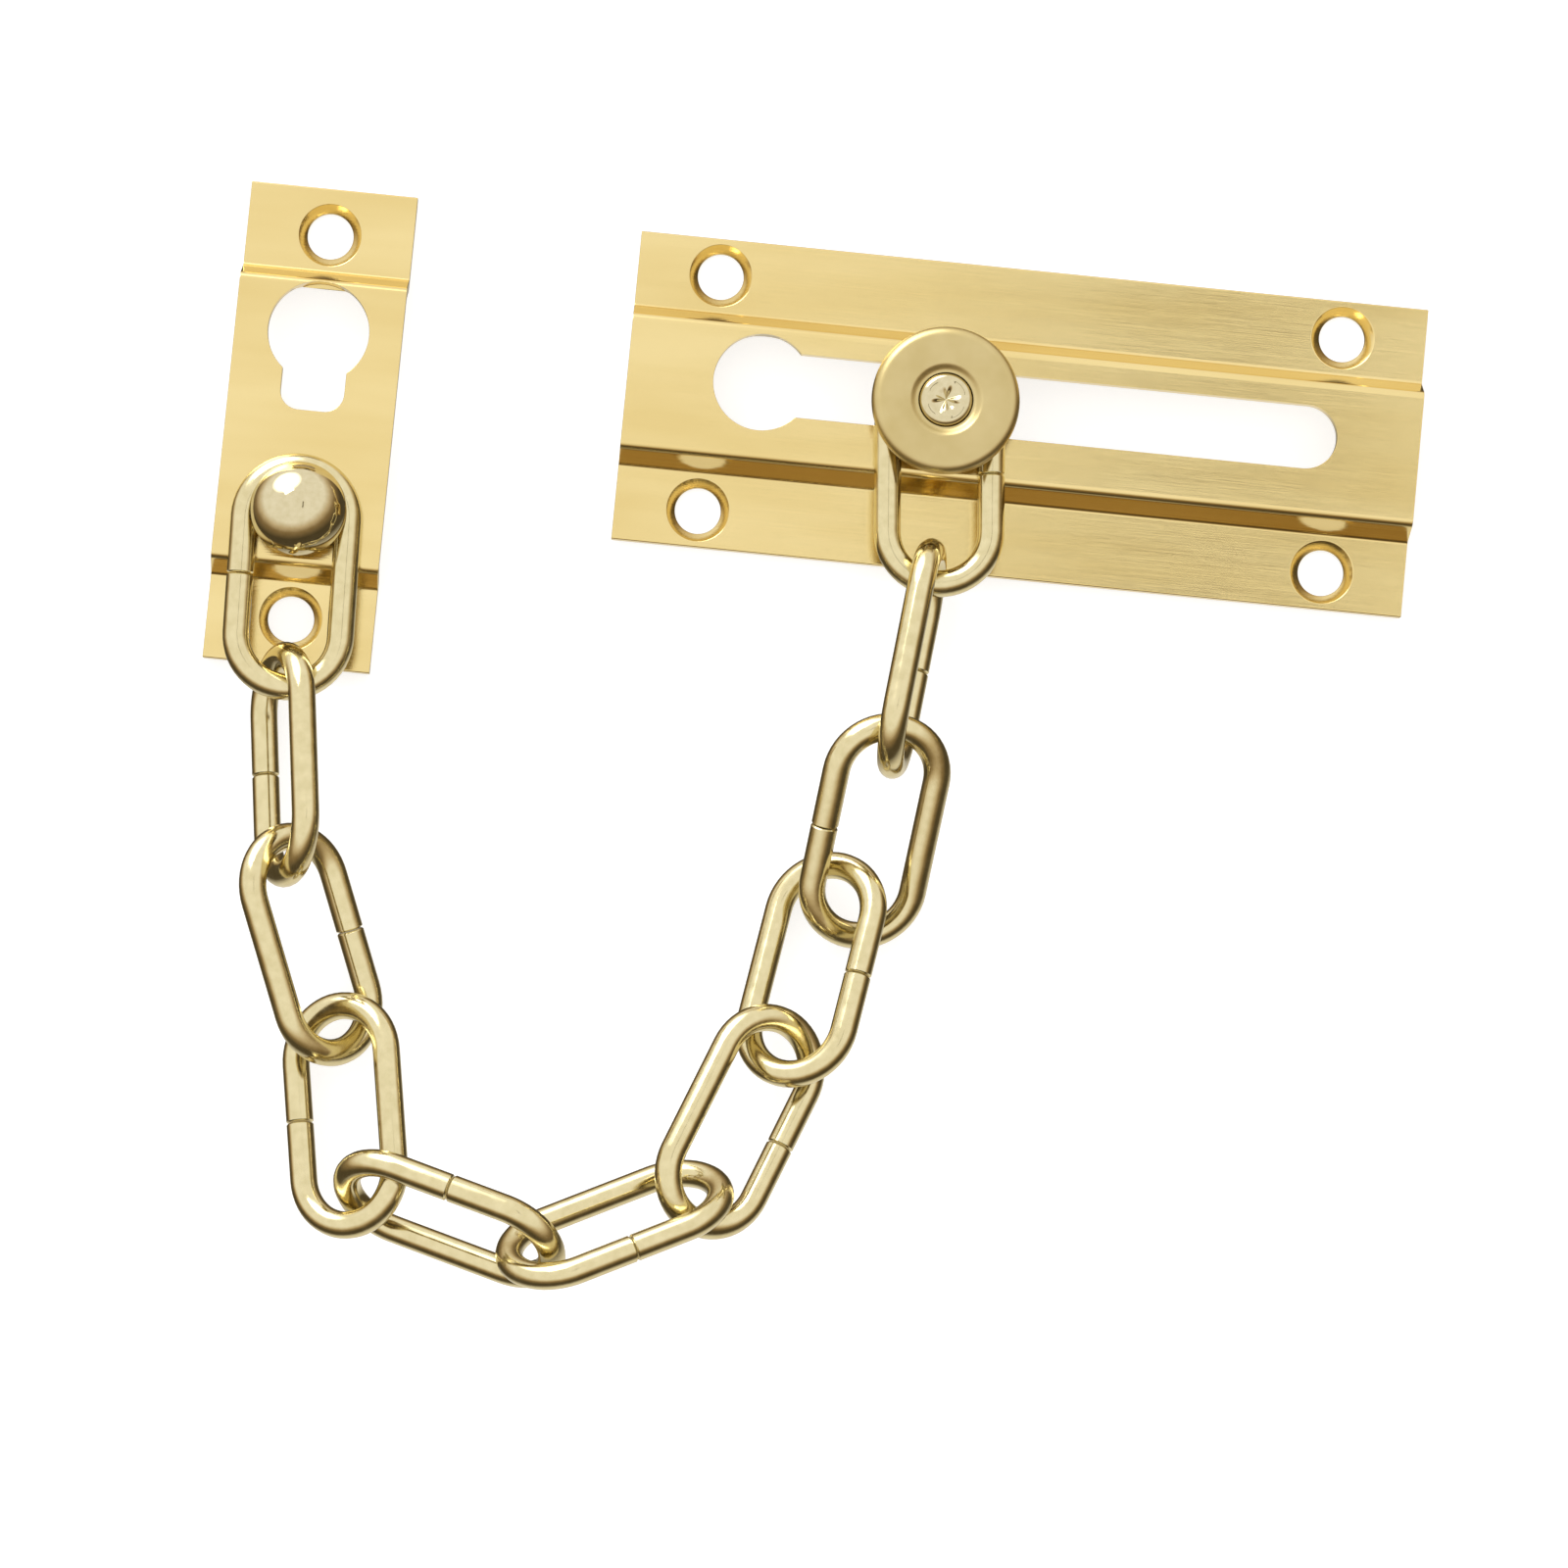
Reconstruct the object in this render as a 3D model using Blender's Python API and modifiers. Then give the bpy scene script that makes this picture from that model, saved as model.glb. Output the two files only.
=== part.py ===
"""Door chain guard: a slotted slide plate, a keeper plate and an eleven-link chain between them.

Frame: the guard lies on its back as when laid out on a bench. Both plates' back faces are on
z = 0 and +Z points away from the door. X runs along the slide plate. The origin is on the slide
plate's back face, in the middle of its upper flange. All sizes below are in millimetres.
"""
import math

import bmesh
import bpy
from mathutils import Euler, Matrix, Vector

MM = 0.001
GAP = 0.3                      # free space between pieces that touch on the real guard

# Both plates are the same drawn hat section
SHEET = 1.7                    # sheet thickness
RISE = 4.3                     # how far the raised centre stands in front of the flanges
STEP_RUN = 1.75                # sideways run of each sloping step
HOLE_R = 2.9                   # screw hole
COUNTERSINK_R = 4.0

# Slide plate
SLIDE_LENGTH = 100.0
SLIDE_WIDTH = 39.3
SLIDE_FLANGE = 9.5
SLIDE_TOP = SLIDE_FLANGE / 2
SLIDE_HOLE_X = 39.5            # screw holes, either side of the middle
SLIDE_HOLE_EDGE = 4.7          # screw holes, in from the long edges
SLOT_Y = SLIDE_TOP - 18.25
SLOT_R = 4.03
SLOT_END_X = 35.5
KEYHOLE_X = -33.1
KEYHOLE_R = 6.1

# Keeper plate
KEEPER_X = -89.0
KEEPER_WIDTH = 21.0
KEEPER_LENGTH = 60.6
KEEPER_TOP = 6.1
KEEPER_FLANGE = 10.6
KEEPER_HOLE_EDGE = 5.9
PARKING_Y = KEEPER_TOP - 18.8
PARKING_R = 6.35
PARKING_NECK = 8.0
PARKING_LENGTH = 16.4
PARKING_CORNER = 2.4

# Heights that stack up from the raised fronts
FRONT = RISE + SHEET
WIRE_R = 1.7
LINK_Z = FRONT + GAP + WIRE_R
HEAD_Z = LINK_Z + WIRE_R + GAP

# Anchor rivet in the keeper plate
RIVET_Y = KEEPER_TOP - 41.8
RIVET_SHANK_R = 2.9
RIVET_HEAD_R = 5.95
RIVET_DOME = 4.0
RIVET_TAIL_R = 4.6
TAIL_THICKNESS = 1.3

# Slider: a flanged stud through the slot, its end staked over the knob disc
STUD_X = -10.15
STUD_Y = -14.3
STUD_R = 2.9
STUD_FLANGE_R = 5.8
STUD_FLANGE = 1.6
DISC_R = 9.25
DISC_THICKNESS = 3.0
DISC_EDGE = 0.9
DIMPLE_R = 3.85
DIMPLE_DEPTH = 1.3
STAKE_R = 3.5
STAKE_HEIGHT = 0.95

# One chain link: a wire bent to an oval and butted in the middle of one side
LINK_LENGTH = 31.0
LINK_WIDTH = 16.4
SEAM = 0.3
BEND_STEPS = 12

# How the chain lies: centre x, y, z of each link, heading, dip and tip in degrees, and which
# side the butt joint is on (-1 right of the heading, 1 left of it). Heading turns from +X
# towards +Y; a positive dip lifts the leading end and a positive tip lifts the left side.
LINK_LAY = [
    (-89.0, -44.0, LINK_Z, -88, 0, 0, -1),
    (-87.5, -67.5, 9.0, -82, 9, 66, -1),
    (-82.0, -89.4, 7.7, -68, -9, -39, 1),
    (-75.7, -110.0, 7.0, -80, 9, 28, -1),
    (-61.5, -121.6, 11.6, -15, 11, 57, 1),
    (-41.1, -120.3, 11.6, 27, -11, -56, -1),
    (-26.9, -106.1, 8.9, 69, -9, 27, -1),
    (-19.9, -86.3, 6.5, 81, -11, -28, -1),
    (-13.7, -68.5, 7.5, 84, 21, 15, 1),
    (-11.2, -46.7, 10.2, 84, -9, 82, -1),
    (-9.9, -23.1, LINK_Z, 95, 0, 0, -1),
]

CIRCLE_STEPS = 40
TURN_STEPS = 40

COLOURS = {
    "drawn_brass": ((0.74, 0.54, 0.19, 1.0), 0.28),
    "chain_brass": ((0.63, 0.53, 0.27, 1.0), 0.25),
    "knob_brass": ((0.64, 0.50, 0.24, 1.0), 0.38),
    "rivet_brass": ((0.68, 0.58, 0.36, 1.0), 0.12),
}


def remove_everything():
    for item in list(bpy.data.objects):
        bpy.data.objects.remove(item, do_unlink=True)


def new_collection(name):
    collection = bpy.data.collections.new(name)
    bpy.context.scene.collection.children.link(collection)
    return collection


def make_material(name):
    colour, roughness = COLOURS[name]
    material = bpy.data.materials.new(name)
    material.use_nodes = True
    material.diffuse_color = colour
    shader = material.node_tree.nodes["Principled BSDF"]
    shader.inputs["Base Color"].default_value = colour
    shader.inputs["Roughness"].default_value = roughness
    shader.inputs["Metallic"].default_value = 1.0
    return material


def add_object(name, data, collection, material=None):
    item = bpy.data.objects.new(name, data)
    collection.objects.link(item)
    if material is not None and not data.materials:
        data.materials.append(material)
    return item


def mesh_from_curve(curve, name):
    """Turn a filled curve into a closed mesh and drop the curve."""
    source = bpy.data.objects.new(name + "_outline", curve)
    bpy.context.scene.collection.objects.link(source)
    bpy.context.view_layer.update()
    depsgraph = bpy.context.evaluated_depsgraph_get()
    mesh = bpy.data.meshes.new_from_object(source.evaluated_get(depsgraph))
    bpy.data.objects.remove(source, do_unlink=True)
    work = bmesh.new()
    work.from_mesh(mesh)
    bmesh.ops.remove_doubles(work, verts=work.verts, dist=0.00001)
    bmesh.ops.recalc_face_normals(work, faces=work.faces)
    work.to_mesh(mesh)
    work.free()
    mesh.name = name
    return mesh


def prism(name, outline, low, high):
    """A closed outline in XY, in mm, stood up from low to high along Z."""
    curve = bpy.data.curves.new(name, "CURVE")
    curve.dimensions = "2D"
    curve.fill_mode = "BOTH"
    curve.extrude = (high - low) / 2 * MM
    spline = curve.splines.new("POLY")
    spline.points.add(len(outline) - 1)
    for point, (x, y) in zip(spline.points, outline):
        point.co = (x * MM, y * MM, 0.0, 1.0)
    spline.use_cyclic_u = True
    mesh = mesh_from_curve(curve, name)
    mesh.transform(Matrix.Translation((0.0, 0.0, (low + high) / 2 * MM)))
    return mesh


def arc(x, y, radius, start, end, steps):
    """Points on an arc, from start to end in degrees."""
    angles = [math.radians(start + (end - start) * i / steps) for i in range(steps + 1)]
    return [(x + radius * math.cos(a), y + radius * math.sin(a)) for a in angles]


def hat_section(width, flange):
    """Cross-section of a plate, across its flanges: closed outline of (across, height)."""
    half = width / 2
    crease = half - flange
    shoulder = crease - STEP_RUN
    slope = math.hypot(STEP_RUN, RISE)
    lean = SHEET * (slope - STEP_RUN) / RISE      # keeps the sheet one thickness round the bends
    back = [(half, 0.0), (crease - lean, 0.0), (shoulder - lean, RISE)]
    front = [(shoulder, FRONT), (crease, SHEET), (half, SHEET)]
    outline = [(-x, z) for x, z in back] + [(x, z) for x, z in back[::-1]]
    outline += front[::-1] + [(-x, z) for x, z in front]
    return outline


def hat_plate(name, length, width, flange):
    """A plate lying along X with its flanges along +Y and -Y and its back on z = 0."""
    mesh = prism(name, hat_section(width, flange), -length / 2, length / 2)
    mesh.transform(Matrix(((0, 0, 1, 0), (1, 0, 0, 0), (0, 1, 0, 0), (0, 0, 0, 1))))
    return mesh


def cylinder(name, radius, low, high, top_radius=None):
    """A cylinder or cone about Z."""
    work = bmesh.new()
    bmesh.ops.create_cone(
        work, cap_ends=True, segments=CIRCLE_STEPS, radius1=radius * MM,
        radius2=(radius if top_radius is None else top_radius) * MM, depth=(high - low) * MM)
    bmesh.ops.translate(work, verts=work.verts, vec=(0.0, 0.0, (low + high) / 2 * MM))
    mesh = bpy.data.meshes.new(name)
    work.to_mesh(mesh)
    work.free()
    return mesh


def add_cutter(name, mesh, x, y, cutters, targets):
    """Place a cutter and give each target a boolean that subtracts it."""
    cutter = add_object(name, mesh, cutters)
    cutter.location = (x * MM, y * MM, 0.0)
    cutter.hide_render = True
    cutter.display_type = "WIRE"
    for target in targets:
        cut = target.modifiers.new(name, "BOOLEAN")
        cut.operation = "DIFFERENCE"
        cut.solver = "EXACT"
        cut.object = cutter


def cut_screw_hole(name, x, y, cutters, plate):
    add_cutter(name, cylinder(name, HOLE_R, -1.0, SHEET + 1.0), x, y, cutters, [plate])
    sink_mesh = cylinder(name + "_sink", HOLE_R - 0.4, 0.2, SHEET + 0.4, COUNTERSINK_R + 0.4)
    add_cutter(name + "_sink", sink_mesh, x, y, cutters, [plate])


def turned(name, profile, collection, material):
    """Turn a profile of (radius, z) points, listed from the top down, about the Z axis."""
    mesh = bpy.data.meshes.new(name)
    points = [(radius * MM, 0.0, z * MM) for radius, z in profile]
    mesh.from_pydata(points, [(i, i + 1) for i in range(len(points) - 1)], [])
    item = add_object(name, mesh, collection, material)
    screw = item.modifiers.new("turn", "SCREW")
    screw.steps = TURN_STEPS
    screw.render_steps = TURN_STEPS
    screw.use_merge_vertices = True
    screw.merge_threshold = 0.00001
    return item


def smooth(item, angle=40):
    item.data.shade_smooth()
    item.data.set_sharp_from_angle(angle=math.radians(angle))


def stadium(half_length, radius, x, y, steps):
    """A slot outline along X with round ends."""
    right = arc(x + half_length, y, radius, -90, 90, steps)
    left = arc(x - half_length, y, radius, 90, 270, steps)
    return right + left


def build_slide_plate(parts, cutters, brass):
    mesh = hat_plate("slide_plate", SLIDE_LENGTH, SLIDE_WIDTH, SLIDE_FLANGE)
    plate = add_object("slide_plate", mesh, parts, brass)
    plate.location = (0.0, (SLIDE_TOP - SLIDE_WIDTH / 2) * MM, 0.0)
    half_slot = (SLOT_END_X - KEYHOLE_X) / 2
    slot_outline = stadium(half_slot, SLOT_R, 0.0, 0.0, BEND_STEPS)
    slot = prism("slot", slot_outline, RISE - 1.0, FRONT + 1.0)
    add_cutter("slot_cutter", slot, (SLOT_END_X + KEYHOLE_X) / 2, SLOT_Y, cutters, [plate])
    keyhole = cylinder("keyhole", KEYHOLE_R, RISE - 1.0, FRONT + 1.0)
    add_cutter("keyhole_cutter", keyhole, KEYHOLE_X, SLOT_Y, cutters, [plate])
    rows = (SLIDE_TOP - SLIDE_HOLE_EDGE, SLIDE_TOP - SLIDE_WIDTH + SLIDE_HOLE_EDGE)
    for row, y in enumerate(rows):
        for side in (-1, 1):
            name = f"slide_hole_{row}_{side}"
            cut_screw_hole(name, side * SLIDE_HOLE_X, y, cutters, plate)
    return plate


def parking_outline():
    """The keeper's keyhole: a round entry with a short round-cornered neck below it."""
    half = PARKING_NECK / 2
    start = math.degrees(math.asin(half / PARKING_R))
    outline = arc(0.0, 0.0, PARKING_R, start - 90, 270 - start, 2 * BEND_STEPS)
    foot = PARKING_R - PARKING_LENGTH
    inner = half - PARKING_CORNER
    outline += arc(-inner, foot + PARKING_CORNER, PARKING_CORNER, 180, 270, 4)
    outline += arc(inner, foot + PARKING_CORNER, PARKING_CORNER, 270, 360, 4)
    return outline


def build_keeper_plate(parts, cutters, brass):
    mesh = hat_plate("keeper_plate", KEEPER_WIDTH, KEEPER_LENGTH, KEEPER_FLANGE)
    plate = add_object("keeper_plate", mesh, parts, brass)
    plate.location = (KEEPER_X * MM, (KEEPER_TOP - KEEPER_LENGTH / 2) * MM, 0.0)
    parking = prism("parking", parking_outline(), RISE - 1.0, FRONT + 1.0)
    add_cutter("parking_cutter", parking, KEEPER_X, PARKING_Y, cutters, [plate])
    shank_hole = cylinder("shank_hole", RIVET_SHANK_R + GAP, RISE - 1.0, FRONT + 1.0)
    add_cutter("shank_cutter", shank_hole, KEEPER_X, RIVET_Y, cutters, [plate])
    rows = (KEEPER_TOP - KEEPER_HOLE_EDGE, KEEPER_TOP - KEEPER_LENGTH + KEEPER_HOLE_EDGE)
    for row, y in enumerate(rows):
        cut_screw_hole(f"keeper_hole_{row}", KEEPER_X, y, cutters, plate)
    return plate


def dome(radius, height, foot, steps):
    """Profile of a round cap, from its crown down to its rim at z = foot."""
    sphere = (radius ** 2 + height ** 2) / (2 * height)
    reach = math.acos(1 - height / sphere)
    angles = [reach * i / steps for i in range(steps + 1)]
    return [(sphere * math.sin(a), foot + height - sphere * (1 - math.cos(a))) for a in angles]


def build_anchor_rivet(parts, material):
    tail_top = RISE - GAP
    tail_foot = tail_top - TAIL_THICKNESS
    profile = dome(RIVET_HEAD_R, RIVET_DOME, HEAD_Z, 8)
    profile += [(RIVET_SHANK_R, HEAD_Z), (RIVET_SHANK_R, tail_top)]
    profile += [(RIVET_TAIL_R, tail_top), (RIVET_TAIL_R - 0.5, tail_foot), (0.0, tail_foot)]
    rivet = turned("anchor_rivet", profile, parts, material)
    rivet.location = (KEEPER_X * MM, RIVET_Y * MM, 0.0)
    smooth(rivet)


def build_slider(parts, material, pivot):
    """The stud: back flange in the channel, shank through slot and link, staked end."""
    flange_top = RISE - GAP
    flange_foot = flange_top - STUD_FLANGE
    stake_foot = HEAD_Z + DISC_THICKNESS - DIMPLE_DEPTH + GAP
    profile = dome(STAKE_R, STAKE_HEIGHT, stake_foot, 5)
    profile += [(STUD_R, stake_foot), (STUD_R, flange_top), (STUD_FLANGE_R, flange_top)]
    profile += [(STUD_FLANGE_R, flange_foot), (0.0, flange_foot)]
    stud = turned("slider_stud", profile, parts, material)
    stud.parent = pivot
    smooth(stud)


def build_knob_disc(parts, material, pivot):
    """The disc: a round-edged ring with a dimple that takes the stud's staked end."""
    top = HEAD_Z + DISC_THICKNESS
    hole = STUD_R + GAP
    rim = DISC_R - DISC_EDGE
    floor = top - DIMPLE_DEPTH
    profile = [(hole, floor), (DIMPLE_R, floor), (DIMPLE_R + 0.5, top)]
    profile += arc(rim, top - DISC_EDGE, DISC_EDGE, 90, 0, 4)
    profile += arc(rim, HEAD_Z + DISC_EDGE, DISC_EDGE, 0, -90, 4)
    profile += [(hole, HEAD_Z), (hole, floor)]
    disc = turned("knob_disc", profile, parts, material)
    disc.parent = pivot
    smooth(disc)


def link_curve():
    """One link lying along X, butted in the middle of its -Y side."""
    bend = LINK_WIDTH / 2 - WIRE_R
    straight = LINK_LENGTH / 2 - WIRE_R - bend
    path = [(SEAM / 2, -bend)]
    path += arc(straight, 0.0, bend, -90, 90, BEND_STEPS)
    path += arc(-straight, 0.0, bend, 90, 270, BEND_STEPS)
    path += [(-SEAM / 2, -bend)]
    curve = bpy.data.curves.new("chain_link", "CURVE")
    curve.dimensions = "3D"
    curve.bevel_depth = WIRE_R * MM
    curve.bevel_resolution = 2
    curve.use_fill_caps = True
    spline = curve.splines.new("POLY")
    spline.points.add(len(path) - 1)
    for point, (x, y) in zip(spline.points, path):
        point.co = (x * MM, y * MM, 0.0, 1.0)
    spline.use_smooth = True
    return curve


def link_matrix(lay):
    """World placement of a link, from one row of LINK_LAY, before its butt joint picks a side."""
    x, y, z, heading, dip, tip = lay[:6]
    turn = Euler((math.radians(tip), math.radians(-dip), math.radians(heading)), "XYZ")
    return Matrix.Translation(Vector((x, y, z)) * MM) @ turn.to_matrix().to_4x4()


def link_end(lay, sign):
    """The middle of the wire at a link's leading (1) or trailing (-1) end, in metres."""
    reach = sign * (LINK_LENGTH / 2 - WIRE_R) * MM
    return link_matrix(lay) @ Vector((reach, 0.0, 0.0))


def pivot_points():
    """Where each link turns on the next: midway between the two hooked wire ends."""
    points = []
    for here, following in zip(LINK_LAY[:-1], LINK_LAY[1:]):
        points.append((link_end(here, 1) + link_end(following, -1)) / 2)
    points.append(Vector((STUD_X, STUD_Y, LINK_Z)) * MM)
    return points


def add_empty(name, world, parent, collection):
    empty = bpy.data.objects.new(name, None)
    collection.objects.link(empty)
    empty.empty_display_size = 0.005
    empty.parent = parent
    base = parent.matrix_world.translation if parent else Vector()
    empty.location = world - base
    bpy.context.view_layer.update()
    return empty


def build_chain(parts, material, slider_pivot):
    """Eleven links, each under an empty on its own joint axis, from the slider back."""
    curve = link_curve()
    curve.materials.append(material)
    points = pivot_points()
    half_turn = Matrix.Rotation(math.pi, 4, "Z")
    parent = slider_pivot
    for index, lay in reversed(list(enumerate(LINK_LAY))):
        pivot = add_empty(f"pivot_{index + 1:02d}", points[index], parent, parts)
        link = add_object(f"link_{index + 1:02d}", curve, parts)
        link.parent = pivot
        place = link_matrix(lay)
        if lay[6] > 0:
            place = place @ half_turn
        link.location = place.translation - pivot.matrix_world.translation
        link.rotation_euler = place.to_euler()
        parent = pivot


def main():
    remove_everything()
    parts = new_collection("door_chain_guard")
    cutters = new_collection("cutters")
    brass = {name: make_material(name) for name in COLOURS}
    build_slide_plate(parts, cutters, brass["drawn_brass"])
    build_keeper_plate(parts, cutters, brass["drawn_brass"])
    build_anchor_rivet(parts, brass["rivet_brass"])
    stud_axis = Vector((STUD_X, STUD_Y, 0.0)) * MM
    slider_pivot = add_empty("slider_pivot", stud_axis, None, parts)
    build_slider(parts, brass["rivet_brass"], slider_pivot)
    build_knob_disc(parts, brass["knob_brass"], slider_pivot)
    build_chain(parts, brass["chain_brass"], slider_pivot)
    bpy.context.view_layer.update()


main()
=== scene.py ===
"""Looks of the door chain guard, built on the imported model's frame.

The camera looks down on the guard as it lies on its back. Sizes are in millimetres unless a name
says otherwise; places come from the frame's nodes.
"""

import math

import bpy
import numpy as np
from mathutils import Matrix, Vector


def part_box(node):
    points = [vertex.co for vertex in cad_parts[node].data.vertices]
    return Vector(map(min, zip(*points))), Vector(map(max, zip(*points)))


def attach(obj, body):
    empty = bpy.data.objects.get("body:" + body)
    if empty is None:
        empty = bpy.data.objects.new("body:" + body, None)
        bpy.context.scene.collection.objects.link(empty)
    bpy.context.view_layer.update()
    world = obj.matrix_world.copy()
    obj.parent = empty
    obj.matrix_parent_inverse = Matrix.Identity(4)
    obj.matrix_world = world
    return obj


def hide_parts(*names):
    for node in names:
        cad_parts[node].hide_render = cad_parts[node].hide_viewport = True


MM = 0.001

# Plates: the same hat section as the CAD, with rounded bends and edges
SHEET = 1.7
FRONT = 6.0
RISE = FRONT - SHEET
STEP_RUN = 1.75
BEND_OUTER = 1.2
BEND_INNER = 0.5
EDGE = 0.2
EDGE_BREAK = 0.08
SLIDE_FLANGE = 9.5
KEEPER_FLANGE = 10.6
HOLE_R = 2.9
COUNTERSINK_R = 4.0

# Slide plate cut-outs, from the middle of its length and down from its top edge
SLIDE_HOLE_X = 39.5
SLIDE_HOLE_EDGE = 4.7
SLOT_DOWN = 18.25
SLOT_R = 4.03
SLOT_END_X = 35.5
KEYHOLE_X = -33.1
KEYHOLE_R = 6.1

# Keeper plate cut-outs, down from its top edge
KEEPER_HOLE_EDGE = 5.9
PARKING_DOWN = 18.8
PARKING_R = 6.35
PARKING_NECK = 8.0
PARKING_LENGTH = 16.4
PARKING_CORNER = 2.4

# Turned pieces: the anchor rivet, the stud with its staked end, and the dished knob disc
SHAFT_GAP = 0.3
RIVET_SHANK_R = 2.9
RIVET_DOME = 4.0
RIVET_RIM = 0.2
TAIL_R = 4.6
TAIL_THICKNESS = 1.3
TAIL_TAPER = 0.5
STUD_R = 2.9
STUD_FLANGE_R = 5.8
STUD_FLANGE = 1.6
DISC_RIM = 1.25
DISH_R = 4.7
DISH_BEND = 1.15
DISH_DEPTH = 0.55
DIMPLE_DEPTH = 1.3
SEAT_R = 3.45
STAKE_R = 3.4
STAKE_CREST_R = 2.45
STAKE_HEIGHT = 0.95
STAKE_HOLLOW = 0.55
STAKE_ARMS = 4
STAKE_MARK = 0.35

# Chain links
LINK_COUNT = 11
LINK_LENGTH = 31.0
LINK_WIDTH = 16.4
WIRE_R = 1.7
SEAM = 0.16
SEAM_CHAMFER = 0.16

# Camera, in metres: a long lens from the chain side, turned a few degrees about its own axis
CAMERA_AT = (-0.04345, -0.13434, 0.85925)
CAMERA_RIGHT = Vector((0.99493, 0.09638, 0.02896))
CAMERA_UP = Vector((-0.09842, 0.99191, 0.0802))
LENS = 157.5
FILM = 36.0

# Surround, in metres: where the room is brightest, a window behind, the floor, a card, a lamp
SKY_AXIS = Vector((-0.25, 0.55, 0.80)).normalized()
WINDOW_AXIS = Vector((-0.45, 0.82, 0.33)).normalized()
WINDOW_GAIN = 3.0
FLOOR_Z = -0.0004
FLOOR_REACH = 3.0
CARD_AT = (0.118, 0.16, 1.2)
CARD_SIZE = (0.06, 0.32)
LAMP_AT = (-0.7, 0.9, 0.9)
LAMP_AIM = (-0.02, -0.06, 0.0)
LAMP_SIZE = 0.5
LAMP_POWER = 3.5

# Fineness of the meshes
TURN_STEPS = 96
STUD_STEPS = 144
DISH_STEPS = 16
HOLE_STEPS = 64
WELD = 0.000001
CUTTER_REACH = 1.0

# The span of a noise node's values that colour and roughness follow
NOISE_LOW = 0.3
NOISE_HIGH = 0.7


# Outlines

def arc(x, y, radius, start, end, steps=24):
    """Points on an arc, from start to end in degrees."""
    angles = [math.radians(start + (end - start) * i / steps) for i in range(steps + 1)]
    return [(x + radius * math.cos(a), y + radius * math.sin(a)) for a in angles]


def fillet(corners, steps=6):
    """A closed outline of (x, y, radius) corners, with each corner rounded to its radius."""
    outline = []
    for i, (x, y, radius) in enumerate(corners):
        here = Vector((x, y))
        back = (Vector(corners[i - 1][:2]) - here).normalized()
        ahead = (Vector(corners[(i + 1) % len(corners)][:2]) - here).normalized()
        half = back.angle(ahead) / 2
        centre = here + (back + ahead).normalized() * radius / math.sin(half)
        first = here + back * radius / math.tan(half) - centre
        last = here + ahead * radius / math.tan(half) - centre
        start = math.atan2(first.y, first.x)
        sweep = math.atan2(last.y, last.x) - start
        sweep = (sweep + math.pi) % (2 * math.pi) - math.pi
        outline += arc(centre.x, centre.y, radius, math.degrees(start),
                       math.degrees(start + sweep), steps)
    return outline


def hat_outline(width, flange):
    """Cross-section of a plate, as (across, height), closed and counter-clockwise."""
    half = width / 2
    crease = half - flange
    shoulder = crease - STEP_RUN
    lean = SHEET * (math.hypot(STEP_RUN, RISE) - STEP_RUN) / RISE
    under = [(shoulder - lean, RISE, BEND_INNER), (crease - lean, 0.0, BEND_OUTER)]
    over = [(half, 0.0, EDGE), (half, SHEET, EDGE), (crease, SHEET, BEND_INNER),
            (shoulder, FRONT, BEND_OUTER)]
    right = under + over
    return fillet(right + [(-x, z, radius) for x, z, radius in right[::-1]])


def keyhole_outline():
    """The keeper's keyhole: a round entry with a short round-cornered neck below it."""
    half = PARKING_NECK / 2
    start = math.degrees(math.asin(half / PARKING_R))
    foot = PARKING_R - PARKING_LENGTH
    inner = half - PARKING_CORNER
    outline = arc(0.0, 0.0, PARKING_R, start - 90, 270 - start, 60)
    outline += arc(-inner, foot + PARKING_CORNER, PARKING_CORNER, 180, 270, 10)
    outline += arc(inner, foot + PARKING_CORNER, PARKING_CORNER, 270, 360, 10)
    return outline


def slot_outline():
    """The slide plate's slot with its round keyhole at the left end."""
    reach = math.degrees(math.asin(SLOT_R / KEYHOLE_R))
    outline = arc(SLOT_END_X, 0.0, SLOT_R, -90, 90, 32)
    return outline + arc(KEYHOLE_X, 0.0, KEYHOLE_R, reach, 360 - reach, 60)


# Meshes

def new_object(name, data):
    item = bpy.data.objects.new(name, data)
    bpy.context.scene.collection.objects.link(item)
    return item


def evaluated_mesh(item):
    """A new mesh of what an object looks like with its modifiers or its bevel."""
    bpy.context.view_layer.update()
    depsgraph = bpy.context.evaluated_depsgraph_get()
    return bpy.data.meshes.new_from_object(item.evaluated_get(depsgraph))


def finished(item):
    """Bake an object's modifiers into its mesh."""
    mesh = evaluated_mesh(item)
    item.modifiers.clear()
    item.data = mesh
    return item


def poly_curve(name, dimensions, path):
    """A curve of one straight-sided spline through (x, y) points in mm."""
    curve = bpy.data.curves.new(name, "CURVE")
    curve.dimensions = dimensions
    spline = curve.splines.new("POLY")
    spline.points.add(len(path) - 1)
    for point, (x, y) in zip(spline.points, path):
        point.co = (x * MM, y * MM, 0.0, 1.0)
    return curve


def welded(name, curve):
    """A curve turned into an object with a closed mesh, its caps welded on."""
    source = new_object(name + "_curve", curve)
    mesh = evaluated_mesh(source)
    bpy.data.objects.remove(source, do_unlink=True)
    item = new_object(name, mesh)
    weld = item.modifiers.new("weld", "WELD")
    weld.merge_threshold = WELD
    return finished(item)


def prism(name, outline, low, high):
    """A closed outline in XY, in mm, stood up from low to high along Z."""
    curve = poly_curve(name, "2D", outline)
    curve.fill_mode = "BOTH"
    curve.extrude = (high - low) / 2 * MM
    curve.splines[0].use_cyclic_u = True
    item = welded(name, curve)
    item.data.transform(Matrix.Translation((0.0, 0.0, (low + high) / 2 * MM)))
    return item


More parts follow.
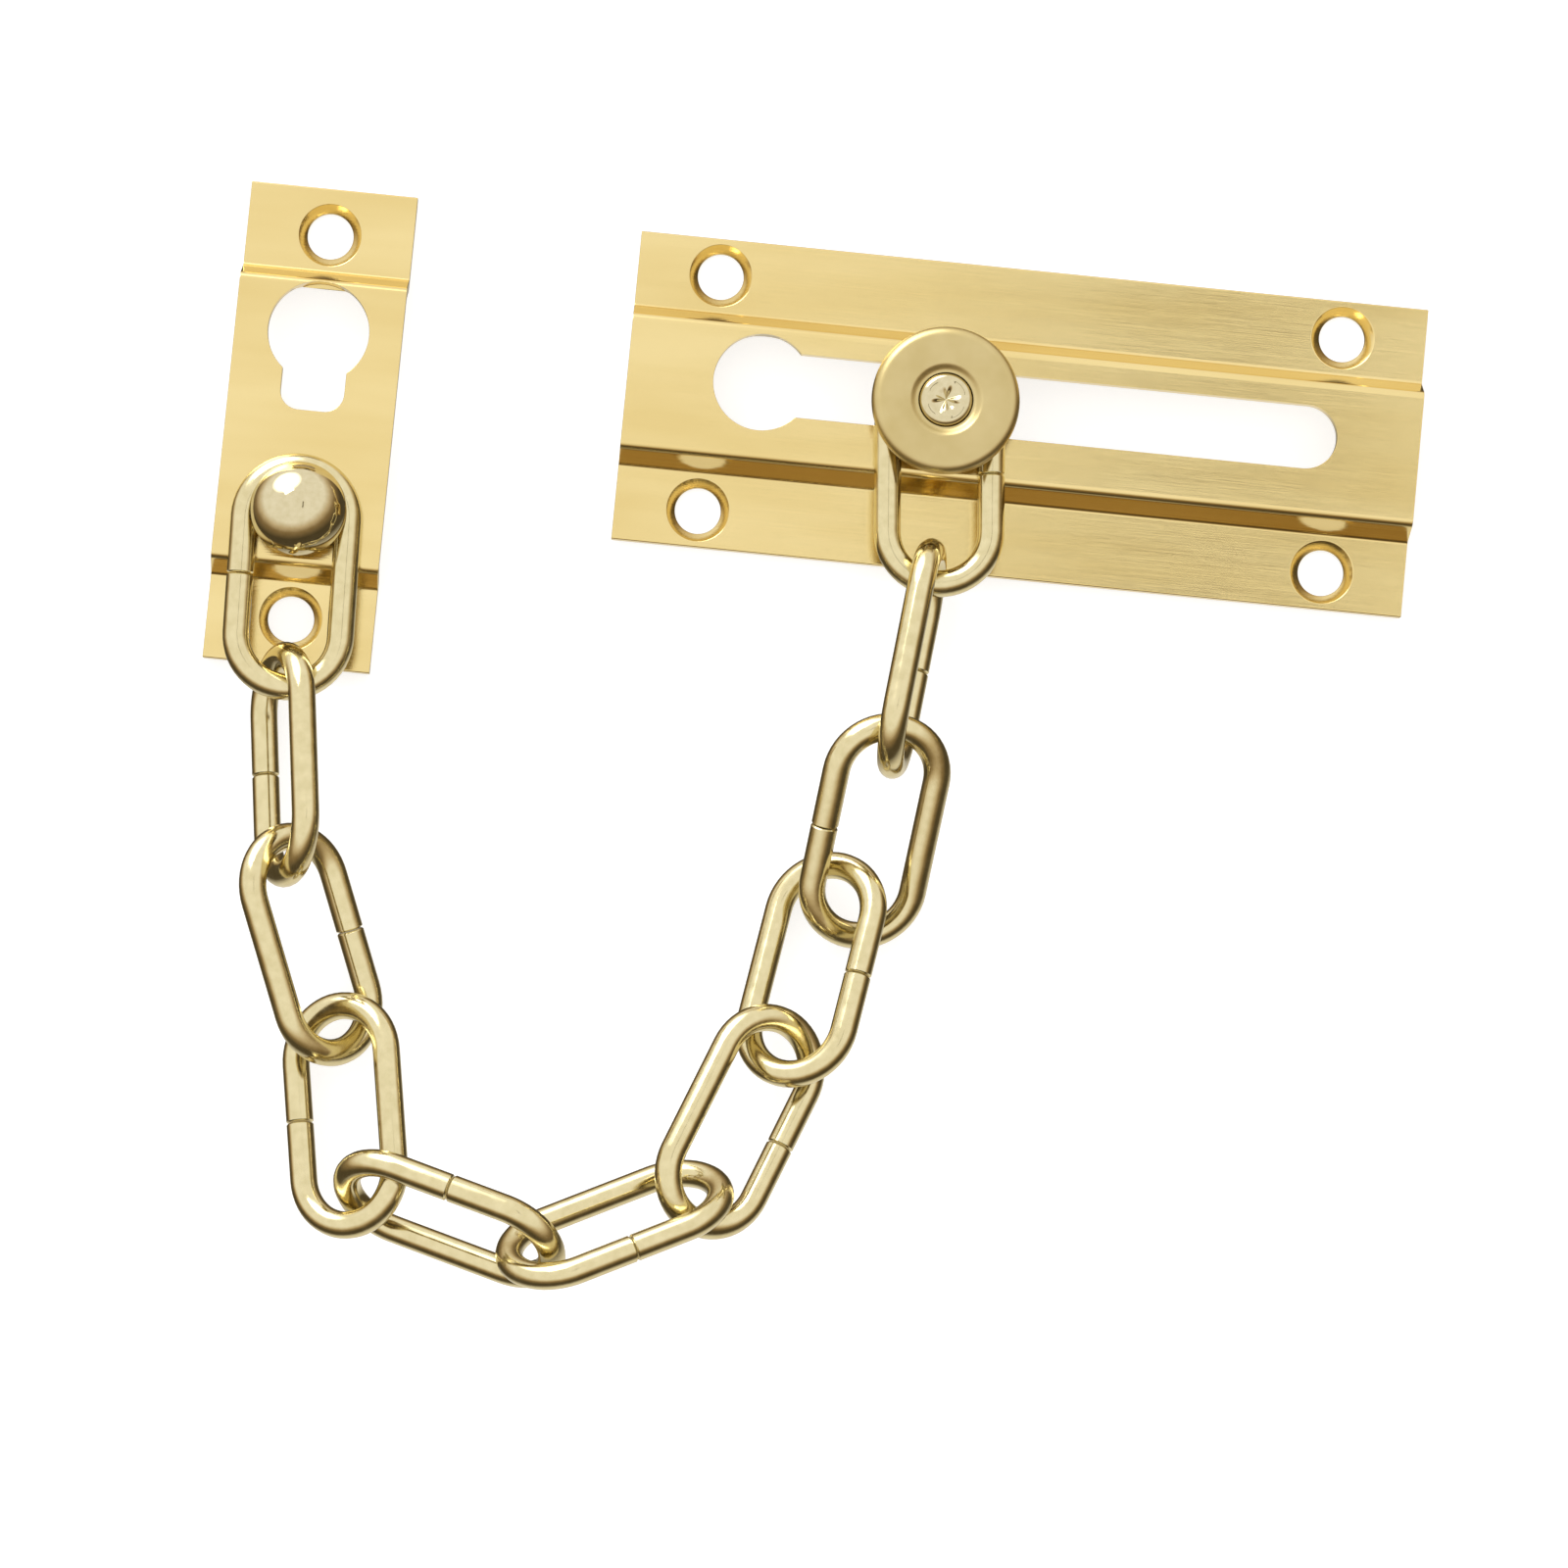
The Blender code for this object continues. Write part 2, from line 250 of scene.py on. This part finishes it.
def turned(name, profile, steps=TURN_STEPS):
    """Turn a profile of (radius, z) points, in mm and from the top down, about the Z axis."""
    mesh = bpy.data.meshes.new(name)
    points = [(radius * MM, 0.0, z * MM) for radius, z in profile]
    mesh.from_pydata(points, [(i, i + 1) for i in range(len(points) - 1)], [])
    item = new_object(name, mesh)
    screw = item.modifiers.new("turn", "SCREW")
    screw.steps = steps
    screw.render_steps = steps
    screw.use_merge_vertices = True
    screw.merge_threshold = WELD
    return finished(item)


def smooth(item, angle=32):
    """Shade smooth, but keep the edges that turn by more than an angle in degrees."""
    item.data.shade_smooth()
    item.data.set_sharp_from_angle(angle=math.radians(angle))


def cut(item, cutters):
    """Subtract the cutters from an object, and remove them."""
    for cutter in cutters:
        boolean = item.modifiers.new(cutter.name, "BOOLEAN")
        boolean.solver = "EXACT"
        boolean.object = cutter
    finished(item)
    for cutter in cutters:
        bpy.data.objects.remove(cutter, do_unlink=True)


def place(item, x, y):
    """Move an object's mesh to a place on the ground, in mm."""
    item.data.transform(Matrix.Translation((x * MM, y * MM, 0.0)))
    return item


def screw_hole(name, x, y):
    """A countersunk screw hole, as one turned cutter."""
    above = SHEET + CUTTER_REACH
    sink = COUNTERSINK_R - HOLE_R
    profile = [(0.0, above), (COUNTERSINK_R + CUTTER_REACH, above), (HOLE_R, SHEET - sink)]
    profile += [(HOLE_R, -CUTTER_REACH), (0.0, -CUTTER_REACH)]
    return place(turned(name, profile, HOLE_STEPS), x, y)


def box_mm(node):
    """A node's lowest and highest corners, in mm."""
    low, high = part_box(node)
    return low / MM, high / MM


def hat_plate(node, flange, outline, outline_x, outline_y, holes):
    """A plate's visual piece: the folded sheet, its cut-out and screw holes, edges broken."""
    low, high = box_mm(node)
    item = prism(node + "_sheet", hat_outline(high.y - low.y, flange), low.x, high.x)
    item.data.transform(Matrix(((0, 0, 1, 0), (1, 0, 0, 0), (0, 1, 0, 0), (0, 0, 0, 1))))
    place(item, 0.0, (low.y + high.y) / 2)
    opening = prism(node + "_opening", outline, RISE - CUTTER_REACH, FRONT + CUTTER_REACH)
    place(opening, outline_x, outline_y)
    cutters = [screw_hole(f"{node}_hole_{i}", x, y) for i, (x, y) in enumerate(holes)]
    cut(item, cutters + [opening])
    bevel = item.modifiers.new("edges", "BEVEL")
    bevel.width = EDGE_BREAK * MM
    bevel.segments = 2
    bevel.limit_method = "ANGLE"
    bevel.angle_limit = math.radians(35)
    bevel.use_clamp_overlap = False
    finished(item)
    smooth(item)
    weighted = item.modifiers.new("normals", "WEIGHTED_NORMAL")
    weighted.keep_sharp = True
    return finished(item)


# Pieces

def dress(item, body, node, material):
    """Hand a finished piece over to the frame."""
    item.data.materials.clear()
    item.data.materials.append(material)
    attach(item, body)
    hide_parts(node)


def build_slide_plate(material):
    low, high = box_mm("slide_plate")
    rows = (high.y - SLIDE_HOLE_EDGE, low.y + SLIDE_HOLE_EDGE)
    holes = [(x, y) for x in (-SLIDE_HOLE_X, SLIDE_HOLE_X) for y in rows]
    plate = hat_plate("slide_plate", SLIDE_FLANGE, slot_outline(), 0.0,
                      high.y - SLOT_DOWN, holes)
    dress(plate, "plates", "slide_plate", material)


def build_keeper_plate(material):
    low, high = box_mm("keeper_plate")
    middle = (low.x + high.x) / 2
    holes = [(middle, high.y - KEEPER_HOLE_EDGE), (middle, low.y + KEEPER_HOLE_EDGE)]
    plate = hat_plate("keeper_plate", KEEPER_FLANGE, keyhole_outline(), middle,
                      high.y - PARKING_DOWN, holes)
    dress(plate, "plates", "keeper_plate", material)


def dome(radius, height, foot, steps):
    """Profile of a round cap, from its crown down to its rim at z = foot."""
    sphere = (radius ** 2 + height ** 2) / (2 * height)
    reach = math.acos(1 - height / sphere)
    angles = [reach * i / steps for i in range(steps + 1)]
    return [(sphere * math.sin(a), foot + height - sphere * (1 - math.cos(a))) for a in angles]


def build_anchor_rivet(material):
    low, high = box_mm("anchor_rivet")
    centre = (low + high) / 2
    radius = (high.x - low.x) / 2
    foot = high.z - RIVET_DOME
    tail_top = low.z + TAIL_THICKNESS
    profile = dome(radius, RIVET_DOME, foot, 28)
    profile += arc(radius - RIVET_RIM, foot, RIVET_RIM, 0, -90, 5)
    profile += [(RIVET_SHANK_R, foot - RIVET_RIM), (RIVET_SHANK_R, tail_top)]
    profile += [(TAIL_R, tail_top), (TAIL_R - TAIL_TAPER, low.z), (0.0, low.z)]
    rivet = place(turned("anchor_rivet_polished", profile), centre.x, centre.y)
    smooth(rivet)
    dress(rivet, "plates", "anchor_rivet", material)


def stake_height(radius):
    """Height of the staked end above its foot: a hollow middle inside a rolled-over crest."""
    if radius < STAKE_CREST_R:
        hollow = (1 + math.cos(math.pi * radius / STAKE_CREST_R)) / 2
        return STAKE_HEIGHT - STAKE_HOLLOW * hollow
    fall = (radius - STAKE_CREST_R) / (STAKE_R - STAKE_CREST_R)
    return STAKE_HEIGHT * math.sqrt(max(0.0, 1 - fall ** 2))


def mark_stake(item, foot):
    """Raise a four-armed star where the staking punch left metal in the hollow."""
    for vertex in item.data.vertices:
        x, y, z = vertex.co / MM
        radius = math.hypot(x, y)
        if z < foot or radius > STAKE_CREST_R:
            continue
        arm = abs(math.cos(STAKE_ARMS / 2 * math.atan2(y, x))) ** 6
        ring = math.sin(math.pi * radius / STAKE_CREST_R)
        vertex.co.z += STAKE_MARK * arm * ring * MM


def build_stud(material):
    low, high = box_mm("slider_stud")
    centre = (low + high) / 2
    foot = high.z - STAKE_HEIGHT
    flange_top = low.z + STUD_FLANGE
    steps = 36
    radii = [STAKE_R * math.sin(math.pi / 2 * i / steps) for i in range(steps + 1)]
    profile = [(radius, foot + stake_height(radius)) for radius in radii]
    profile += [(STUD_R, foot), (STUD_R, flange_top), (STUD_FLANGE_R, flange_top)]
    profile += [(STUD_FLANGE_R, low.z), (0.0, low.z)]
    stud = turned("slider_stud_staked", profile, STUD_STEPS)
    mark_stake(stud, foot)
    place(stud, centre.x, centre.y)
    smooth(stud)
    dress(stud, "slider", "slider_stud", material)


def build_knob(material):
    low, high = box_mm("knob_disc")
    centre = (low + high) / 2
    radius = (high.x - low.x) / 2
    hole = STUD_R + SHAFT_GAP
    floor = high.z - DIMPLE_DEPTH
    dish = high.z - DISH_DEPTH
    profile = [(SEAT_R, dish)]
    for step in range(DISH_STEPS + 1):
        share = step / DISH_STEPS
        rise = (1 - math.cos(math.pi * share)) / 2
        profile.append((DISH_R - DISH_BEND * (1 - share), dish + DISH_DEPTH * rise))
    profile += arc(radius - DISC_RIM, high.z - DISC_RIM, DISC_RIM, 90, 0, 12)
    profile += arc(radius - DISC_RIM, low.z + DISC_RIM, DISC_RIM, 0, -90, 12)
    profile += [(hole, low.z), (hole, floor), (SEAT_R, floor), (SEAT_R, dish)]
    disc = place(turned("knob_disc_satin", profile), centre.x, centre.y)
    smooth(disc)
    dress(disc, "knob", "knob_disc", material)


def link_curve():
    """One link lying along X: a round wire bent to an oval, butted in the middle of its -Y side."""
    bend = LINK_WIDTH / 2 - WIRE_R
    straight = LINK_LENGTH / 2 - WIRE_R - bend
    path = [(SEAM / 2, -bend), (SEAM / 2 + SEAM_CHAMFER, -bend)]
    path += arc(straight, 0.0, bend, -90, 90, 28)
    path += arc(-straight, 0.0, bend, 90, 270, 28)
    path += [(-SEAM / 2 - SEAM_CHAMFER, -bend), (-SEAM / 2, -bend)]
    curve = poly_curve("chain_link_wire", "3D", path)
    curve.bevel_depth = WIRE_R * MM
    curve.bevel_resolution = 8
    curve.use_fill_caps = True
    spline = curve.splines[0]
    spline.use_smooth = True
    for end in (0, -1):
        spline.points[end].radius = 1 - SEAM_CHAMFER / WIRE_R
    return curve


def link_mesh():
    """The link's wire as a closed mesh that every link shares."""
    carrier = welded("chain_link", link_curve())
    smooth(carrier, 30)
    mesh = carrier.data
    bpy.data.objects.remove(carrier, do_unlink=True)
    return mesh


def link_placement(node):
    """World placement of a link, from its CAD solid: long axis, then away from the butt joint."""
    points = np.array([v.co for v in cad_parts[node].data.vertices])
    points = np.unique(points.round(7), axis=0)
    mean = points.mean(axis=0)
    axes = np.linalg.eigh(np.cov((points - mean).T))[1]
    along, across = axes[:, 2], axes[:, 1]
    local = points @ np.column_stack((along, across, np.cross(along, across)))
    middle = (local.min(axis=0) + local.max(axis=0)) / 2
    if local.mean(axis=0)[1] > middle[1]:
        along, across, middle = -along, -across, middle * (-1, -1, 1)
    turn = np.column_stack((along, across, np.cross(along, across)))
    matrix = Matrix(turn.tolist()).to_4x4()
    matrix.translation = turn @ middle
    return matrix


def build_chain(material):
    mesh = link_mesh()
    mesh.materials.clear()
    mesh.materials.append(material)
    for number in range(1, LINK_COUNT + 1):
        node = f"link_{number:02d}"
        link = new_object(node + "_wire", mesh)
        link.matrix_world = link_placement(node)
        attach(link, f"chain_{number:02d}")
        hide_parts(node)


# Materials

def set_ramp(ramp, stops):
    """Fill a colour ramp node with (place, colour) stops."""
    elements = ramp.color_ramp.elements
    elements[0].position = stops[0][0]
    elements[1].position = stops[-1][0]
    for where, _ in stops[1:-1]:
        elements.new(where)
    for element, (_, colour) in zip(elements, stops):
        element.color = (*colour, 1.0)


class Metal:
    """A polished metal whose tone, roughness and surface follow noise in its own space."""

    def __init__(self, name):
        self.material = bpy.data.materials.new(name)
        self.material.use_nodes = True
        self.tree = self.material.node_tree
        self.shader = self.tree.nodes["Principled BSDF"]
        self.shader.inputs["Metallic"].default_value = 1.0

    def noise(self, grain, detail):
        """Noise whose grain is so many mm along each axis."""
        where = self.tree.nodes.new("ShaderNodeTexCoord")
        mapping = self.tree.nodes.new("ShaderNodeMapping")
        mapping.inputs["Scale"].default_value = [1 / (MM * size) for size in grain]
        noise = self.tree.nodes.new("ShaderNodeTexNoise")
        noise.inputs["Scale"].default_value = 1.0
        noise.inputs["Detail"].default_value = detail
        self.tree.links.new(where.outputs["Object"], mapping.inputs["Vector"])
        self.tree.links.new(mapping.outputs["Vector"], noise.inputs["Vector"])
        return noise.outputs["Fac"]

    def tone(self, noise, dark, light):
        """Let the colour run from dark to light."""
        ramp = self.tree.nodes.new("ShaderNodeValToRGB")
        set_ramp(ramp, [(NOISE_LOW, dark), (NOISE_HIGH, light)])
        self.tree.links.new(noise, ramp.inputs["Fac"])
        self.tree.links.new(ramp.outputs["Color"], self.shader.inputs["Base Color"])

    def roughness(self, noise, low, high):
        scale = self.tree.nodes.new("ShaderNodeMapRange")
        scale.inputs["From Min"].default_value = NOISE_LOW
        scale.inputs["From Max"].default_value = NOISE_HIGH
        scale.inputs["To Min"].default_value = low
        scale.inputs["To Max"].default_value = high
        self.tree.links.new(noise, scale.inputs["Value"])
        self.tree.links.new(scale.outputs["Result"], self.shader.inputs["Roughness"])

    def bump(self, noise, height):
        """Raise the surface by so many mm."""
        bump = self.tree.nodes.new("ShaderNodeBump")
        bump.inputs["Distance"].default_value = height * MM
        self.tree.links.new(noise, bump.inputs["Height"])
        self.tree.links.new(bump.outputs["Normal"], self.shader.inputs["Normal"])


def drawn_brass():
    """Polished sheet with fine lines along its length and a faint uneven tone."""
    metal = Metal("drawn_brass_sheet")
    lines = metal.noise((40.0, 0.10, 0.4), 4.0)
    blotches = metal.noise((30.0, 6.0, 6.0), 2.0)
    metal.tone(blotches, (0.79, 0.62, 0.27), (0.86, 0.70, 0.34))
    metal.roughness(lines, 0.08, 0.18)
    metal.bump(lines, 0.010)
    return metal.material


def chain_brass():
    """Bright wire, paler than the plates, with faint handling marks."""
    metal = Metal("chain_brass_wire")
    marks = metal.noise((1.5, 1.5, 1.5), 5.0)
    metal.tone(marks, (0.70, 0.61, 0.35), (0.79, 0.70, 0.43))
    metal.roughness(marks, 0.10, 0.20)
    metal.bump(marks, 0.006)
    return metal.material


def knob_brass():
    """Satin disc, finely tumbled."""
    metal = Metal("knob_brass_satin")
    grain = metal.noise((0.12, 0.12, 0.12), 3.0)
    blotches = metal.noise((4.0, 4.0, 4.0), 2.0)
    metal.tone(blotches, (0.60, 0.48, 0.22), (0.66, 0.54, 0.27))
    metal.roughness(grain, 0.28, 0.40)
    metal.bump(grain, 0.003)
    return metal.material


def rivet_brass():
    """Mirror-polished heads with a faintly uneven polish."""
    metal = Metal("rivet_brass_mirror")
    marks = metal.noise((0.8, 0.8, 0.8), 6.0)
    metal.tone(marks, (0.66, 0.58, 0.36), (0.74, 0.66, 0.44))
    metal.roughness(marks, 0.04, 0.09)
    return metal.material


# Stage

def stage_sheet(name, width, depth, centre, colour, glow, strength):
    """A flat sheet facing up that glows a little. Returns it and its shader."""
    x, y = width / 2, depth / 2
    mesh = bpy.data.meshes.new(name)
    corners = [(-x, -y, 0.0), (x, -y, 0.0), (x, y, 0.0), (-x, y, 0.0)]
    mesh.from_pydata(corners, [], [(0, 1, 2, 3)])
    sheet = new_object(name, mesh)
    sheet.location = centre
    material = bpy.data.materials.new(name + "_paint")
    material.use_nodes = True
    shader = material.node_tree.nodes["Principled BSDF"]
    shader.inputs["Base Color"].default_value = (*colour, 1.0)
    shader.inputs["Emission Color"].default_value = (*glow, 1.0)
    shader.inputs["Emission Strength"].default_value = strength
    mesh.materials.append(material)
    return sheet, shader


def build_floor():
    """A white table under the guard, bright enough to read as a plain ground."""
    size = 2 * FLOOR_REACH
    floor, shader = stage_sheet("floor", size, size, (0.0, 0.0, FLOOR_Z),
                                (0.5, 0.5, 0.5), (1.0, 1.0, 1.0), 0.75)
    shader.inputs["Roughness"].default_value = 0.9
    shader.inputs["Specular IOR Level"].default_value = 0.0
    floor.visible_glossy = False


def build_dark_card():
    """A dim card high over the slide plate, which softly dims its polish on the right."""
    card, _ = stage_sheet("dark_card", *CARD_SIZE, CARD_AT,
                          (0.05, 0.04, 0.02), (0.75, 0.68, 0.55), 0.25)


def sky_band(tree, direction, axis, stops):
    """A colour that depends on how far a direction lies along an axis."""
    dot = tree.nodes.new("ShaderNodeVectorMath")
    dot.operation = "DOT_PRODUCT"
    dot.inputs[1].default_value = axis
    half = tree.nodes.new("ShaderNodeMapRange")
    half.inputs["From Min"].default_value = -1.0
    ramp = tree.nodes.new("ShaderNodeValToRGB")
    set_ramp(ramp, stops)
    tree.links.new(direction, dot.inputs[0])
    tree.links.new(dot.outputs["Value"], half.inputs["Value"])
    tree.links.new(half.outputs["Result"], ramp.inputs["Fac"])
    return ramp.outputs["Color"]


def build_sky():
    """Soft studio surround: white overhead, a bright window behind, a dim room on the near side."""
    world = bpy.data.worlds.new("studio")
    bpy.context.scene.world = world
    world.use_nodes = True
    tree = world.node_tree
    direction = tree.nodes.new("ShaderNodeTexCoord").outputs["Generated"]
    room = sky_band(tree, direction, SKY_AXIS, [
        (0.06, (0.85, 0.80, 0.70)), (0.20, (0.10, 0.08, 0.05)), (0.36, (0.09, 0.07, 0.04)),
        (0.50, (0.30, 0.21, 0.11)), (0.59, (0.70, 0.58, 0.42)), (0.70, (1.05, 1.03, 1.0))])
    window = sky_band(tree, direction, WINDOW_AXIS, [(0.945, (0, 0, 0)), (0.98, (1, 1, 1))])
    both = tree.nodes.new("ShaderNodeVectorMath")
    both.operation = "MULTIPLY_ADD"
    both.inputs[1].default_value = [WINDOW_GAIN] * 3
    tree.links.new(window, both.inputs[0])
    tree.links.new(room, both.inputs[2])
    tree.links.new(both.outputs["Vector"], tree.nodes["Background"].inputs["Color"])


def add_lamp():
    """A square area lamp behind the guard, aimed at it."""
    light = bpy.data.lights.new("key", "AREA")
    light.size = LAMP_SIZE
    light.energy = LAMP_POWER
    lamp = new_object("key", light)
    lamp.location = LAMP_AT
    aim = Vector(LAMP_AIM) - Vector(LAMP_AT)
    lamp.rotation_euler = aim.to_track_quat("-Z", "Y").to_euler()


def build_camera():
    camera = bpy.data.cameras.new("camera")
    camera.lens = LENS
    camera.sensor_width = FILM
    item = new_object("camera", camera)
    back = CAMERA_RIGHT.cross(CAMERA_UP)
    matrix = Matrix((CAMERA_RIGHT, CAMERA_UP, back)).transposed().to_4x4()
    matrix.translation = CAMERA_AT
    item.matrix_world = matrix
    bpy.context.scene.camera = item


def main():
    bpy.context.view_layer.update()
    plates = drawn_brass()
    mirror = rivet_brass()
    build_slide_plate(plates)
    build_keeper_plate(plates)
    build_anchor_rivet(mirror)
    build_stud(mirror)
    build_knob(knob_brass())
    build_chain(chain_brass())
    build_floor()
    build_sky()
    build_dark_card()
    add_lamp()
    build_camera()
    bpy.context.scene.view_settings.view_transform = "Standard"
    bpy.context.view_layer.update()


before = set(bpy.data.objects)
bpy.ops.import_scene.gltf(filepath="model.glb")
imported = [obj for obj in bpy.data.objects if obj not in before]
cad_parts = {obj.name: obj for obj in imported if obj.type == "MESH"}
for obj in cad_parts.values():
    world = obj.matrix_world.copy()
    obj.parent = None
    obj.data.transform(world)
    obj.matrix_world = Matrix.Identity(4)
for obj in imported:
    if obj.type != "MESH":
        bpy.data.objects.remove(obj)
main()
